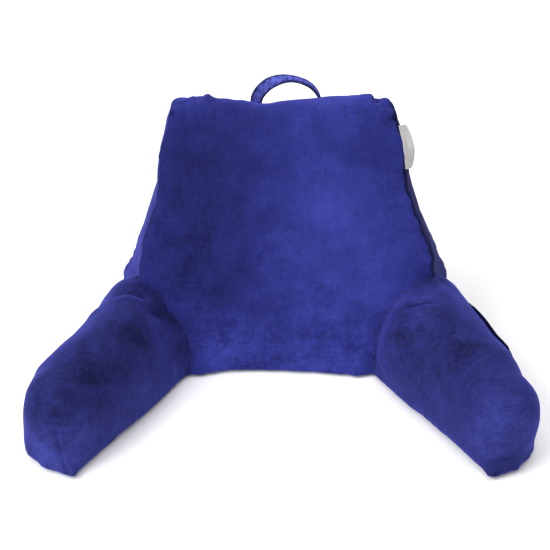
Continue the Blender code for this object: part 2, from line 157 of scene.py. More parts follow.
Tug = namedtuple("Tug", "node x y z radius dx dy dz")
TUGS = (  # where the cover is drawn out or in as a whole
    Tug("back", -0.1370, 0.178, 0.301, 0.0095, -0.0048, 0, 0),
    Tug("back", -0.1480, 0.187, 0.274, 0.0115, 0.0046, 0, 0),
    Tug("back", -0.1510, 0.187, 0.247, 0.0120, -0.0026, 0, 0),
    Tug("back", -0.1655, 0.140, 0.205, 0.0330, 0.0048, 0, 0),
    Tug("back", -0.1930, 0.165, 0.095, 0.0300, -0.0025, 0, 0),
    Tug("back", 0.1310, 0.148, 0.318, 0.0085, 0.0040, 0, 0),
    Tug("back", 0.1505, 0.104, 0.275, 0.0120, 0.0046, 0, 0),
    Tug("back", 0.1900, 0.062, 0.152, 0.0190, 0.0030, 0, 0),
    Tug("back", 0.1705, 0.078, 0.208, 0.0240, 0.0036, 0, 0),
    Tug("back", 0.2050, 0.168, 0.085, 0.0550, 0.0048, 0, 0),
    Tug("back", 0.0980, -0.015, 0.004, 0.0340, 0, -0.0078, 0),
    Tug("back", 0.0560, -0.013, 0.004, 0.0280, 0, -0.0036, 0),
    Tug("back", -0.1060, -0.015, 0.004, 0.0200, 0, -0.0050, 0),
    Tug("arm_left", -0.2225, 0.070, 0.081, 0.0200, 0.0048, 0, 0),
    Tug("arm_left", -0.2365, -0.006, 0.102, 0.0140, -0.0040, 0, 0),
    Tug("arm_left", -0.2800, -0.052, 0.080, 0.0180, 0.0045, 0, 0),
    Tug("arm_left", -0.2950, -0.100, 0.083, 0.0190, -0.0058, 0, 0),
    Tug("arm_left", -0.3120, -0.140, 0.070, 0.0220, 0.0032, 0, 0),
    Tug("arm_left", -0.3078, -0.175, 0.022, 0.0160, -0.0036, 0, 0),
    Tug("arm_left", -0.2850, -0.194, 0.008, 0.0130, -0.0045, -0.0035, 0),
    Tug("arm_left", -0.2525, -0.204, 0.006, 0.0070, 0.0010, -0.0040, 0),
    Tug("arm_right", 0.3095, -0.178, 0.012, 0.0200, -0.0062, 0, 0),
    Tug("arm_right", 0.2850, -0.196, 0.009, 0.0120, 0.0040, -0.0045, 0),
    Tug("arm_right", 0.2560, -0.204, 0.006, 0.0070, -0.0010, -0.0030, 0),
)

Brush = namedtuple("Brush", "x y z radius light ruffle")
NAP_AND_PAINTED_LIGHT = (  # where the pile is drawn darker, below 0, or lighter, and where it is ruffled; the light is partly the run of the nap and partly painted shade and painted highlight
    Brush(-0.110, 0.110, 0.270, 0.100, -0.80, 0),
    Brush(-0.110, 0.060, 0.170, 0.080, -0.50, 0.10),
    Brush(-0.120, 0.030, 0.110, 0.060, -0.50, 0.30),
    Brush(-0.080, 0.000, 0.030, 0.050, 0.95, 0.75),
    Brush(0.070, 0.000, 0.030, 0.060, 0.55, 0.65),
    Brush(0.060, 0.080, 0.230, 0.080, 0.55, 0),
    Brush(0.090, 0.040, 0.140, 0.100, 0.72, 0.05),
    Brush(0.000, -0.005, 0.015, 0.040, 0.25, 0.50),
    Brush(0.000, 0.130, 0.322, 0.060, 0.25, 0),
    Brush(0.090, 0.130, 0.325, 0.050, 0.60, 0),
    Brush(-0.110, 0.130, 0.325, 0.040, 0.35, 0),
    Brush(0.115, 0.115, 0.285, 0.045, -0.60, 0),
    Brush(0.150, 0.030, 0.105, 0.030, 0.60, 0.20),
    Brush(-0.186, -0.056, 0.106, 0.048, -0.62, 0.20),
    Brush(-0.226, -0.140, 0.099, 0.042, -0.90, 0.20),
    Brush(-0.180, -0.120, 0.040, 0.050, 0.50, 0.20),
    Brush(-0.262, -0.197, 0.040, 0.045, 1.10, 0.20),
    Brush(-0.285, -0.180, 0.085, 0.035, -0.50, 0.20),
    Brush(0.200, -0.050, 0.120, 0.060, -0.15, 0.20),
    Brush(0.150, -0.045, 0.080, 0.040, -0.50, 0.20),
    Brush(0.225, -0.098, 0.112, 0.045, -0.50, 0.10),
    Brush(0.275, -0.190, 0.060, 0.050, 0.95, 0.10),
)
RUFFLED_BACK = 0.12
RUFFLED_ARMS = 0.35
BACK_LIGHT = -0.07
# painted shade: the arms' pile is drawn darker than the back's
ARMS_PAINTED_SHADE = -0.38
JOIN_PAINTED_SHADE = ((0.4, 0.010), (0.3, 0.035))  # painted shade where an arm meets the back: how much darker towards the back, and from how far off
LIGHT_RANGE = (-2, 1.5)
LEFT_GUSSET_LIGHT = -0.7  # the gussets are drawn darker; at the right it is painted shade
RIGHT_GUSSET_LIGHT = -0.5
RIGHT_GUSSET_PAINTED_SHADE = -1.3  # painted shade, darker still next to the front seam
RIGHT_GUSSET_REACH = 0.060
GUSSET_TURN = 0.5  # a gusset faces this much sideways, or more
GUSSET_BLEND = 0.3
GUSSET_FROM_X = 0.1
FRONT_SEAM_Y = -0.0116  # on the floor
FRONT_SEAM_LEAN = 0.4245  # how far it runs back for each metre of height


# ---------------------------------------------------------------- small helpers
def mix(a, b, share):
    return a + (b - a) * share


def only(piece):
    """Selects this piece alone and makes it active."""
    bpy.ops.object.select_all(action="DESELECT")
    piece.select_set(True)
    bpy.context.view_layer.objects.active = piece


def apply_modifiers(piece):
    only(piece)
    for name in [modifier.name for modifier in piece.modifiers]:
        bpy.ops.object.modifier_apply(modifier=name)


def points_of(piece):
    places = np.empty(len(piece.data.vertices) * 3, np.float32)
    piece.data.vertices.foreach_get("co", places)
    return places.reshape(-1, 3).astype(float)


def put_points(piece, places):
    piece.data.vertices.foreach_set("co", places.astype(np.float32).ravel())
    piece.data.update()


def normals_of(piece):
    ways = np.empty(len(piece.data.vertices) * 3, np.float32)
    piece.data.vertex_normals.foreach_get("vector", ways)
    return ways.reshape(-1, 3).astype(float)


NOISE_SHIFT = (7.31, 3.17, 5.73)
NOISE_SCALE = 1.6


def wander(places, wavelength, seed):
    """A smooth uneven rise and fall of about -1 to 1, over this wavelength."""
    shift = Vector([seed * step for step in NOISE_SHIFT])
    heights = [noise.noise(Vector(place) / wavelength + shift) for place in places]
    return np.array([height * NOISE_SCALE for height in heights])


def bell(distance, width):
    """1 in the middle, falling away smoothly on both sides."""
    return np.exp(-((distance / width) ** 2))


def tree_of(piece):
    solid = bmesh.new()
    solid.from_mesh(piece.data)
    tree = BVHTree.FromBMesh(solid)
    solid.free()
    return tree


def paint_nap_and_light(piece, places, light, ruffle):
    """Writes how light the pile is drawn, by its nap and by painted shade and painted highlight,
    and how ruffled it is, at each point.
    """
    light = light + np.zeros(len(places))
    ruffle = ruffle + np.zeros(len(places))
    for spot in NAP_AND_PAINTED_LIGHT:
        away = np.linalg.norm(places - np.array((spot.x, spot.y, spot.z)), axis=1)
        light += spot.light * bell(away, spot.radius)
        ruffle += spot.ruffle * bell(away, spot.radius)
    write(piece, "nap_and_painted_light", np.clip(light, *LIGHT_RANGE))
    write(piece, "ruffled", np.clip(ruffle, 0, 1))


def write(piece, name, amount):
    column = piece.data.attributes.new(name, "FLOAT", "POINT")
    column.data.foreach_set("value", amount.astype(np.float32))


def finish_piece(piece, node, cloth):
    piece.data.shade_smooth()
    piece.data.materials.append(cloth)
    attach(piece, "root")
    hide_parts(node)


# ---------------------------------------------------------------- cushions
def merged_copy(node, name):
    """A copy of a node's mesh with its loose triangles joined."""
    piece = bpy.data.objects.new(name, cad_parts[node].data.copy())
    bpy.context.scene.collection.objects.link(piece)
    piece.data.materials.clear()
    only(piece)
    bpy.ops.object.mode_set(mode="EDIT")
    bpy.ops.mesh.select_all(action="SELECT")
    bpy.ops.mesh.remove_doubles(threshold=MERGE)
    bpy.ops.object.mode_set(mode="OBJECT")
    return piece


def seam_points(piece):
    """Places a millimetre apart along the sharp edges, where the panels are sewn together."""
    solid = bmesh.new()
    solid.from_mesh(piece.data)
    found = []
    for edge in solid.edges:
        if len(edge.link_faces) == 2 and edge.calc_face_angle() > SEAM_ANGLE:
            steps = max(1, int(edge.calc_length() / SEAM_STEP))
            start, end = (vertex.co for vertex in edge.verts)
            found += [start.lerp(end, i / steps) for i in range(steps + 1)]
    solid.free()
    return found


def near_seam(places, seam):
    """How far each place is from the nearest seam, and that seam's own nearest place."""
    if not seam:
        return np.full(len(places), NO_SEAM), places
    tree = kdtree.KDTree(len(seam))
    for i, place in enumerate(seam):
        tree.insert(place, i)
    tree.balance()
    found = [tree.find(Vector(place)) for place in places]
    return np.array([hit[2] for hit in found]), np.array([tuple(hit[0]) for hit in found])


def sink_joined_face(piece, tree):
    """The face that lies against the back is moved into it, so that no gap opens there."""
    places = points_of(piece)
    for i, place in enumerate(places):
        hit, way, _, _ = tree.find_nearest(Vector(place), JOIN_REACH)
        if hit is not None:
            places[i] = Vector(place) - way * JOIN_SUNK
    places[:, 2] = np.maximum(places[:, 2], 0)
    put_points(piece, places)


def fill_out(piece, cushion, hold):
    """Swells the blank under pressure. hold is 1 where it is sewn or rests, 0 where free."""
    start = points_of(piece)
    blank = start - normals_of(piece) * BLANK_SHRINK * (1 - hold)[:, None]
    put_points(piece, blank)
    held = piece.vertex_groups.new(name="sewn")
    for i, weight in enumerate(hold):
        if weight > 0:
            held.add([i], float(weight), "REPLACE")
    cloth = piece.modifiers.new("filling", "CLOTH")
    cloth.settings.quality = CLOTH_QUALITY
    cloth.settings.use_pressure = True
    cloth.settings.uniform_pressure_force = PRESSURE
    cloth.settings.vertex_group_mass = held.name
    cloth.settings.effector_weights.gravity = 0
    cloth.point_cache.frame_start = 1
    cloth.point_cache.frame_end = LAST_FRAME
    for at in range(1, LAST_FRAME + 1):
        bpy.context.scene.frame_set(at)
    only(piece)
    bpy.ops.object.modifier_apply(modifier=cloth.name)
    bpy.context.scene.frame_set(1)
    moved = points_of(piece) - blank
    far = np.linalg.norm(moved, axis=1, keepdims=True)
    moved *= np.minimum(1, cushion.cap / np.maximum(far, TINY))
    piece.vertex_groups.clear()
    put_points(piece, start)
    ways = normals_of(piece)
    swell = (moved * ways).sum(axis=1)
    even = swell[hold < HARDLY_HELD].mean()
    moved -= ways * (even * (1 - HELD_KEEPS * hold))[:, None]
    moved[hold > FULLY_HELD] = 0
    put_points(piece, start + moved)


def creased(node, places):
    """One cushion's lumps, and its folds: each sinks along its line and stands up a little
    beside it. Returns how far each point rises, and the painted shade in the folds:
    how light the pile is drawn there."""
    rise, light = np.zeros(len(places)), np.zeros(len(places))
    for fold in CREASES:
        if fold.node != node:
            continue
        start = np.array((fold.x0, fold.y0, fold.z0))
        line = np.array((fold.x1, fold.y1, fold.z1)) - start
        share = np.clip((places - start) @ line / (line @ line), 0, 1)
        away = np.linalg.norm(places - start - share[:, None] * line, axis=1)
        fade = 1 - FOLD_ENDS * np.abs(2 * share - 1) ** 2
        beside = bell(away - FOLD_BESIDE_OFF * fold.width, FOLD_BESIDE_WIDTH * fold.width)
        rise -= fold.depth * fade * bell(away, fold.width)
        rise += FOLD_BESIDE * fold.depth * fade * beside
        # painted shade along each fold
        light += fold.light * fade * bell(away, FOLD_LIGHT_WIDTH * fold.width)
    for lump in LUMPS:
        if lump.node == node:
            away = np.linalg.norm(places - np.array((lump.x, lump.y, lump.z)), axis=1)
            rise += lump.height * bell(away, lump.radius)
    return rise, light


def tugged(node, places):
    """How far one cushion's points are drawn along."""
    moved = np.zeros_like(places)
    for tug in TUGS:
        if tug.node == node:
            away = np.linalg.norm(places - np.array((tug.x, tug.y, tug.z)), axis=1)
            moved += bell(away, tug.radius)[:, None] * np.array((tug.dx, tug.dy, tug.dz))
    return moved


def gusset_light(places, ways):
    """The side gussets are drawn darker, most of all at the right, next to the front seam; at the
    right it is painted shade.
    """
    deep = places[:, 1] - FRONT_SEAM_Y - FRONT_SEAM_LEAN * places[:, 2]
    share = np.clip((np.abs(ways[:, 0]) - GUSSET_TURN) / GUSSET_BLEND, 0, 1)
    near_front = bell(np.maximum(deep, 0), RIGHT_GUSSET_REACH)
    right = RIGHT_GUSSET_LIGHT + RIGHT_GUSSET_PAINTED_SHADE * near_front
    return share * np.where(ways[:, 0] > 0, right, LEFT_GUSSET_LIGHT)


def shade_right_gusset(piece):
    """The right gusset gets a darker velour with less sheen: painted shade, as that side is turned
    from the key lamp.
    """
    piece.data.materials.append(SHADED_VELOUR)
    for face in piece.data.polygons:
        if face.normal.x > GUSSET_TURN and face.center.x > GUSSET_FROM_X:
            face.material_index = 1


def held_share(places, seam, join, tree):
    """1 where a cover is sewn or rests, falling to 0 where it is free to swell."""
    away, _ = near_seam(places, seam)
    hold = 1 - np.clip(away / HOLD_FADE, 0, 1)
    if join:
        away, _ = near_seam(places, join)
        hold = np.maximum(hold, 1 - np.clip((away - HOLD_PAST_JOIN) / HOLD_FADE, 0, 1))
        hits = [tree.find_nearest(Vector(place), HOLD_BESIDE_BACK)[0] for place in places]
        hold[np.array([hit is not None for hit in hits])] = 1
    hold[places[:, 2] < HOLD_FOOT] = 1
    return hold


def skin_rise(cushion, places, seam, join):
    """How far the skin rises by its waves, its seams and the puckers along them."""
    away, sewn = near_seam(places, seam)
    joined, root = near_seam(places, join)
    pull = bell(away, SEAM_WIDTH)
    roll = bell(away - SEAM_ROLL_OFF, SEAM_ROLL_WIDTH)
    gather = wander(sewn, PUCKERS, seed=3) * np.exp(-away / PUCKERS_FADE)
    at_root = ROOT_PUCKERS_MORE * wander(root, ROOT_PUCKERS, seed=5)
    gather += at_root * np.exp(-joined / ROOT_PUCKERS_FADE)
    drift = wander(places, WAVES, seed=1)
    drift = drift + FINE_WAVES_SHARE * wander(places, FINE_WAVES, seed=2)
    rise = drift * cushion.slack + gather * cushion.pucker
    return rise - pull * cushion.seam + roll * SEAM_ROLL, joined


def build_cushion(cushion, back):
    """A stuffed cover over the node's shape, its seams drawn in and its skin slightly uneven."""
    piece = merged_copy(cushion.node, cushion.node + "_cushion")
    seam, join, tree = seam_points(piece), [], None
    if back is not None:
        cad_back = merged_copy("back", "back_for_join")
        tree = tree_of(cad_back)
        bpy.data.objects.remove(cad_back)
        near = [tree.find_nearest(place, JOIN_REACH)[0] is not None for place in seam]
        join = [place for place, close in zip(seam, near) if close]
        seam = [place for place, close in zip(seam, near) if not close]
        sink_joined_face(piece, tree)
    blank = piece.modifiers.new("blank", "REMESH")
    blank.mode = "VOXEL"
    blank.voxel_size = cushion.voxel
    apply_modifiers(piece)
    fill_out(piece, cushion, held_share(points_of(piece), seam, join, tree))
    finer = piece.modifiers.new("finer", "SUBSURF")
    finer.levels = cushion.finer
    finer.render_levels = cushion.finer
    apply_modifiers(piece)

    places, ways = points_of(piece), normals_of(piece)
    rise, joined = skin_rise(cushion, places, seam, join)
    folds, fold_shade = creased(cushion.node, places)
    rise += folds
    rise *= np.clip(places[:, 2] / REST_FADE, 0, 1)
    places = places + ways * rise[:, None] + tugged(cushion.node, places)
    places[:, 2] = np.maximum(places[:, 2], 0)
    places[places[:, 2] < FLAT_BELOW, 2] = 0
    if back is not None:
        places = clear_of(flare(places, ways, tree_of(back)), tree_of(back))
    put_points(piece, places)
    if back is None:
        light = BACK_LIGHT + fold_shade + gusset_light(places, ways)
        paint_nap_and_light(piece, places, light, RUFFLED_BACK)
        finish_piece(piece, cushion.node, VELOUR)
        shade_right_gusset(piece)
    else:
        light = ARMS_PAINTED_SHADE + fold_shade
        # painted shade in the hollow where the arm is sewn to the back
        for darker, reach in JOIN_PAINTED_SHADE:
            light -= darker * bell(joined, reach)
        paint_nap_and_light(piece, places, light, RUFFLED_ARMS)
        finish_piece(piece, cushion.node, ARM_VELOUR)
    return piece


def flare(places, ways, tree):
    """Near the back an arm's skin spreads out along it, so that the two meet in a soft hollow."""
    for i, place in enumerate(places):
        hit, way, _, distance = tree.find_nearest(Vector(place), NEAR)
        if hit is not None and place[2] > FLARE_FROM:
            along = Vector(ways[i])
            along -= way * along.dot(way)
            places[i] += np.array(along) * FLARE * math.exp(-distance / FLARE_REACH)
    return places


def clear_of(places, tree):
    """Moves what reaches into another piece back out of it, by the sewn gap."""
    for i, place in enumerate(places):
        hit, way, _, _ = tree.find_nearest(Vector(place), NEAR)
        if hit is not None and (Vector(place) - hit).dot(way) < SEWN_GAP:
            places[i] = hit + way * SEWN_GAP
    places[:, 2] = np.maximum(places[:, 2], 0)
    return places


# ---------------------------------------------------------------- materials
class Shop:
    """Adds nodes to one material, in a row, and links them."""

    def __init__(self, name):
        self.material = bpy.data.materials.new(name)
        self.material.use_nodes = True
        self.tree = self.material.node_tree
        self.shader = self.tree.nodes["Principled BSDF"]
        self.place = self.add("ShaderNodeTexCoord").outputs["Object"]

    def add(self, kind, **settings):
        node = self.tree.nodes.new(kind)
        for key, value in settings.items():
            setattr(node, key, value)
        return node

    def link(self, source, target):
        self.tree.links.new(source, target)

    def cloud(self, scale, detail=2.0, rough=0.5, stretch=(1, 1, 1)):
        """A noise pattern over the piece, 0 to 1; stretch is larger where it is finer."""
        mapping = self.add("ShaderNodeMapping")
        mapping.inputs["Scale"].default_value = stretch
        self.link(self.place, mapping.inputs["Vector"])
        cloud = self.add("ShaderNodeTexNoise")
        cloud.inputs["Scale"].default_value = scale
        cloud.inputs["Detail"].default_value = detail
        cloud.inputs["Roughness"].default_value = rough
        self.link(mapping.outputs["Vector"], cloud.inputs["Vector"])
        return cloud.outputs["Fac"]

    def sum(self, start, *parts):
        """start, and patterns that are each centred on 0 and taken this many times."""
        total = None
        for pattern, times, middle in parts:
            scaled = self.add("ShaderNodeMath", operation="MULTIPLY_ADD")
            self.link(pattern, scaled.inputs[0])
            scaled.inputs[1].default_value = times
            scaled.inputs[2].default_value = -times * middle + (start if total is None else 0)
            if total is not None:
                added = self.add("ShaderNodeMath", operation="ADD")
                self.link(total, added.inputs[0])
                self.link(scaled.outputs[0], added.inputs[1])
                total = added.outputs[0]
            else:
                total = scaled.outputs[0]
        return total

    def colours(self, amount, *stops):
        """Colours by amount: (place, (r, g, b)) rows."""
        node = self.add("ShaderNodeValToRGB")
        ramp = node.color_ramp
        while len(ramp.elements) < len(stops):
            ramp.elements.new(0.5)
        for element, (at, colour) in zip(ramp.elements, stops):
            element.position = at
            element.color = (*colour, 1)
        self.link(amount, node.inputs["Fac"])
        return node.outputs["Color"]

    def attribute(self, name):
        return self.add("ShaderNodeAttribute", attribute_name=name).outputs["Fac"]

    def times(self, one, other):
        node = self.add("ShaderNodeMath", operation="MULTIPLY")
        self.link(one, node.inputs[0])
        self.link(other, node.inputs[1])
        return node.outputs[0]

    def relief(self, height, strength, distance):
        bump = self.add("ShaderNodeBump")
        bump.inputs["Strength"].default_value = strength
        bump.inputs["Distance"].default_value = distance
        self.link(height, bump.inputs["Height"])
        self.link(bump.outputs["Normal"], self.shader.inputs["Normal"])

    def set(self, **values):
        for name, value in values.items():
            self.shader.inputs[name.replace("_", " ")].default_value = value


MIDDLE = 0.5  # of a pattern, or of a row of colours
EVEN = (1, 1, 1)
Pattern = namedtuple("Pattern", "scale detail rough stretch light height")
NAP = (  # patterns in the pile, how much each lightens it and how much it stands up
    Pattern(30, 4, 0.62, EVEN, 1.00, 0),  # blotches
    Pattern(55, 3, 0.60, (1.0, 5, 7), 0.34, 0.8),  # streaks across
    Pattern(55, 3, 0.60, (7, 1.6, 1.0), 0.34, 0.8),  # and upright
    Pattern(200, 3, 0.65, EVEN, 0.55, 0),  # flecks
    Pattern(800, 2, 0.60, EVEN, 0.25, 0.7),  # the pile itself
)
NAP_CALM = 0.40  # how strongly the patterns show where the pile isn't ruffled
NAP_RUFFLED = 0.95  # and how much stronger where it is
STROKE = 0.30  # how far the pile's colour is moved by its nap and by painted shade and painted highlight
PILE_COLOURS = (
    (0.00, (0.0042, 0.0054, 0.0400)),
    (0.50, (0.0170, 0.0212, 0.1500)),
    (0.95, (0.0400, 0.0490, 0.3100)),
)
SHEEN_TINT = (0.16, 0.17, 1.0, 1)
TAPE_RIB = 0.5  # how much the rib and the soil change the tape's colour
TAPE_SOIL = 0.4
TAPE_COLOURS = ((0.2, (0.38, 0.375, 0.365)), (0.8, (0.54, 0.53, 0.515)))


def velour(name, light_by=1.0, sheen=0.55, rich=1.0):
    """Short blue pile: drawn lighter and darker by its nap and by painted shade and painted
    highlight, streaked where it is ruffled.
    """
    shop = Shop(name)
    clouds = [(shop.cloud(row.scale, row.detail, row.rough, row.stretch), row) for row in NAP]
    nap = shop.sum(0, *[(cloud, row.light, MIDDLE) for cloud, row in clouds])
    standing = [(cloud, row.height, MIDDLE) for cloud, row in clouds if row.height]
    force = shop.sum(NAP_CALM, (shop.attribute("ruffled"), NAP_RUFFLED, 0))
    # the nap together with painted shade and painted highlight
    stroke = (shop.attribute("nap_and_painted_light"), STROKE, 0)
    amount = shop.sum(MIDDLE, (shop.times(nap, force), 1, 0), stroke)
    stops = [(at, tuple(light_by * part for part in colour)) for at, colour in PILE_COLOURS]
    # rich below 1 greys the colour, in the copies of the velour that carry painted shade and
    # painted sheen
    greyed = shop.add("ShaderNodeHueSaturation")
    greyed.inputs["Saturation"].default_value = rich
    shop.link(shop.colours(amount, *stops), greyed.inputs["Color"])
    shop.link(greyed.outputs["Color"], shop.shader.inputs["Base Color"])
    shop.set(Roughness=0.92, Specular_IOR_Level=0.1, Sheen_Weight=sheen, Sheen_Roughness=0.4)
    shop.set(Sheen_Tint=SHEEN_TINT)
    shop.relief(shop.sum(0, *standing), strength=0.4, distance=0.0011)
    return shop.material


def tape():
    """Pale grey woven tape with a fine rib along it."""
    shop = Shop("grey_woven_tape")
    rib = shop.cloud(700, detail=1, stretch=(1, 0.15, 1))
    soil = shop.cloud(60)
    amount = shop.sum(MIDDLE, (rib, TAPE_RIB, MIDDLE), (soil, TAPE_SOIL, MIDDLE))
    shop.link(shop.colours(amount, *TAPE_COLOURS), shop.shader.inputs["Base Color"])
    shop.set(Roughness=0.8, Sheen_Weight=0.1)
    shop.relief(rib, strength=0.4, distance=0.0003)
    return shop.material


VELOUR = velour("blue_velour")
# painted shade: a darker, greyer copy of the velour for the arms
ARM_VELOUR = velour("arm_velour_with_painted_shade", light_by=0.9, rich=0.97)
# painted shade: a darker copy of the velour with little sheen, for the right gusset and the pocket
SHADED_VELOUR = velour("velour_with_painted_shade", light_by=0.7, sheen=0.14)
# painted sheen: a much lighter, greyer copy of the velour for the strap, its own sheen turned down
STRAP_VELOUR = velour("strap_velour_with_painted_sheen", light_by=1.65, sheen=0.22, rich=0.92)
TAPE = tape()


# ---------------------------------------------------------------- strap, tab and pocket
STRAP_WIDTH = 0.0165
STRAP_THICK = 0.0042
STRAP_SPAN = 0.083
STRAP_RISE = 0.038
STRAP_SUNK = 0.4  # radians of the arch that each end runs on inside the top
STRAP_ASIDE = 0.0013  # to the right of its node's middle
STRAP_DOWN = 0.0431  # from its node's top to the foot of its arch
STRAP_TILT_LEFT = math.radians(62)
STRAP_TILT_RIGHT = math.radians(-6)
STRAP_TWIST = (0.15, 0.60)  # it twists between these shares of its arch
STRAP_SQUARE = 0.8  # below 1 its rows crowd to its edges
STRAP_EDGE_ROUND = 6
STRAP_LEAST_RIM = 1e-3  # so that nothing is divided by 0 at its edges
STRAP_BETWEEN = 0.62  # its height between its hems, as a share of its thickness
STRAP_HEM = 0.38  # and how much higher the hems are
STRAP_HEM_AT = 0.80  # share of its half width
STRAP_HEM_WIDTH = 0.16
STRAP_LUMPS = 0.10
STRAP_LUMPS_ALONG = 26
STRAP_LUMPS_ACROSS = 1.5
STRAP_LUMPS_AT = 4.0  # in the noise
STRAP_WAVER = 0.0005  # of its edges
STRAP_WAVER_ALONG = 9
STRAP_WAVER_AT = 2.0
# painted sheen lightens the strap's face, painted shade darkens its rims
STRAP_PAINTED_SHEEN = 0.7
STRAP_RIM_PAINTED_SHADE = -1.9
STRAP_RIM_AT = 0.95
STRAP_RIM_WIDTH = 0.30
STRAP_MOTTLE = 2.4
STRAP_MOTTLE_ALONG = 40
STRAP_MOTTLE_ACROSS = 4
STRAP_LIGHT_RANGE = (-1.5, 1.5)
STRAP_RUFFLED = 0.8
STRAP_CUTS = 96  # along it
STRAP_SIDES = 28  # round it


def strap_tube():
    """A straight tube, from -1 to 1 each way, with a ring of points for each cut."""
    bpy.ops.object.select_all(action="DESELECT")
    bpy.ops.mesh.primitive_cylinder_add(vertices=STRAP_SIDES, radius=1, depth=2)
    piece = bpy.context.active_object
    piece.name = "carrying_strap"
    bpy.ops.object.mode_set(mode="EDIT")
    bpy.ops.mesh.select_all(action="DESELECT")
    solid = bmesh.from_edit_mesh(piece.data)
    for edge in solid.edges:
        if abs(edge.verts[0].co.z - edge.verts[1].co.z) > 1:
            edge.select_set(True)
    bmesh.update_edit_mesh(piece.data)
    bpy.ops.mesh.subdivide(number_cuts=STRAP_CUTS)
    bpy.ops.object.mode_set(mode="OBJECT")
    return piece


def strap_frame(turn):
    """Which ways the strap's width and its thickness point at this turn of its arch."""
    tangent = Vector((math.sin(turn) * STRAP_SPAN / 2, 0, math.cos(turn) * STRAP_RISE))
    tangent.normalize()
    outward = Vector((-tangent.z, 0, tangent.x))
    twist = (turn / math.pi - STRAP_TWIST[0]) / (STRAP_TWIST[1] - STRAP_TWIST[0])
    twist = min(max(twist, 0), 1)
    tilt = mix(STRAP_TILT_LEFT, STRAP_TILT_RIGHT, twist**2 * (3 - 2 * twist))
    wide = Vector((0, math.cos(tilt), 0)) + outward * math.sin(tilt)
    thick = outward * math.cos(tilt) - Vector((0, math.sin(tilt), 0))
    return wide, thick


def build_strap():
    """A flat strap in an arch, twisted as it rises, with a rolled hem along both edges."""
    low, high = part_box("handle")
    middle = Vector(((low.x + high.x) / 2 + STRAP_ASIDE, (low.y + high.y) / 2, high.z - STRAP_DOWN))
    piece = strap_tube()
    raw = points_of(piece)
    places, light = np.zeros_like(raw), np.zeros(len(raw))
    for i, (x, y, z) in enumerate(raw):
        share = (z + 1) / 2
        turn = mix(-STRAP_SUNK, math.pi + STRAP_SUNK, share)
        wide, thick = strap_frame(turn)
        across = math.copysign(abs(x) ** STRAP_SQUARE, x)
        along = Vector((share * STRAP_LUMPS_ALONG, x * STRAP_LUMPS_ACROSS, STRAP_LUMPS_AT))
        hem = bell(abs(across) - STRAP_HEM_AT, STRAP_HEM_WIDTH)
        height = STRAP_BETWEEN + STRAP_HEM * hem + STRAP_LUMPS * noise.noise(along)
        rim = max(abs(y), math.sqrt(max(TINY, 1 - x * x)), STRAP_LEAST_RIM)
        fall = STRAP_THICK / 2 * height * y / rim
        fall *= math.sqrt(max(0.0, 1 - abs(across) ** STRAP_EDGE_ROUND)) ** 0.5
        aside = Vector((share * STRAP_WAVER_ALONG, STRAP_WAVER_AT, 0))
        waver = STRAP_WAVER * noise.noise(aside)
        arch = Vector((-math.cos(turn) * STRAP_SPAN / 2, 0, math.sin(turn) * STRAP_RISE))
        places[i] = middle + arch + wide * (across * STRAP_WIDTH / 2 + waver) + thick * fall
        # painted shade along the rims, painted sheen over the face
        at_rim = float(bell(abs(across) - STRAP_RIM_AT, STRAP_RIM_WIDTH))
        light[i] = mix(STRAP_PAINTED_SHEEN, STRAP_RIM_PAINTED_SHADE, at_rim)
        along = Vector((share * STRAP_MOTTLE_ALONG, x * STRAP_MOTTLE_ACROSS, y))
        light[i] += STRAP_MOTTLE * noise.noise(along)
    put_points(piece, places)
    only(piece)
    bpy.ops.object.mode_set(mode="EDIT")
    bpy.ops.mesh.select_all(action="SELECT")
    bpy.ops.mesh.normals_make_consistent(inside=False)
    bpy.ops.object.mode_set(mode="OBJECT")
    write(piece, "nap_and_painted_light", np.clip(light, *STRAP_LIGHT_RANGE))
    write(piece, "ruffled", np.full(len(light), STRAP_RUFFLED))
    finish_piece(piece, "handle", STRAP_VELOUR)


TAB_LOW = Vector((0.1592, 0.0942, 0.2491))  # the tab's two ends in the front seam
TAB_HIGH = Vector((0.1492, 0.1159, 0.3003))
TAB_BEHIND = Vector((0, 0.9205, -0.3907))  # square to the front panel, into the back
TAB_WIDTH = 0.0142
TAB_ENDS_TURN = 1.75  # how sharply its two ends turn back
TAB_ENDS_DEPTH = 0.7  # and how far, as a share of its width
TAB_MIDDLE = 0.52  # share of its length, from its lower end, where it faces straight out
TAB_CURL = 0.003  # its free edge hangs back
TAB_FOLD = 0.0010  # half the distance between its two layers
TAB_FOLD_SHARE = 0.12  # of the tape's width that goes round the fold
TAB_WAVE = 0.0005
TAB_WAVES = 9  # radians of them along it
TAB_CLOTH = 0.0006
TAB_GRID = (40, 60)


def build_tab(back):
    """A tape folded over lengthwise, its two raw edges sewn into the seam."""
    piece = cloth_grid("side_tab", TAB_GRID)
    raw = points_of(piece)
    places = np.zeros_like(raw)
    for i, (x, y, _) in enumerate(raw):
        up, out = y + 0.5, min(1, (1 - 2 * abs(x)) / (1 - TAB_FOLD_SHARE))
        fold = math.pi * min(max(x / TAB_FOLD_SHARE + 0.5, 0), 1)
        turned = math.acos(1 - TAB_ENDS_TURN * (up - TAB_MIDDLE) ** 2)
        aside = TAB_WIDTH * out * math.cos(turned) + TAB_FOLD * math.sin(fold)
        wave = TAB_WAVE * math.sin(TAB_WAVES * up + 1) * out
        behind = TAB_FOLD * (1 - math.cos(fold)) + wave + TAB_CURL * out**2
        behind += TAB_ENDS_DEPTH * TAB_WIDTH * out * math.sin(turned)
        places[i] = TAB_LOW.lerp(TAB_HIGH, up) + Vector((aside, 0, 0)) + TAB_BEHIND * behind
    put_points(piece, clear_of(places, tree_of(back)))
    thicken(piece, TAB_CLOTH)
    finish_piece(piece, "label_tab", TAPE)


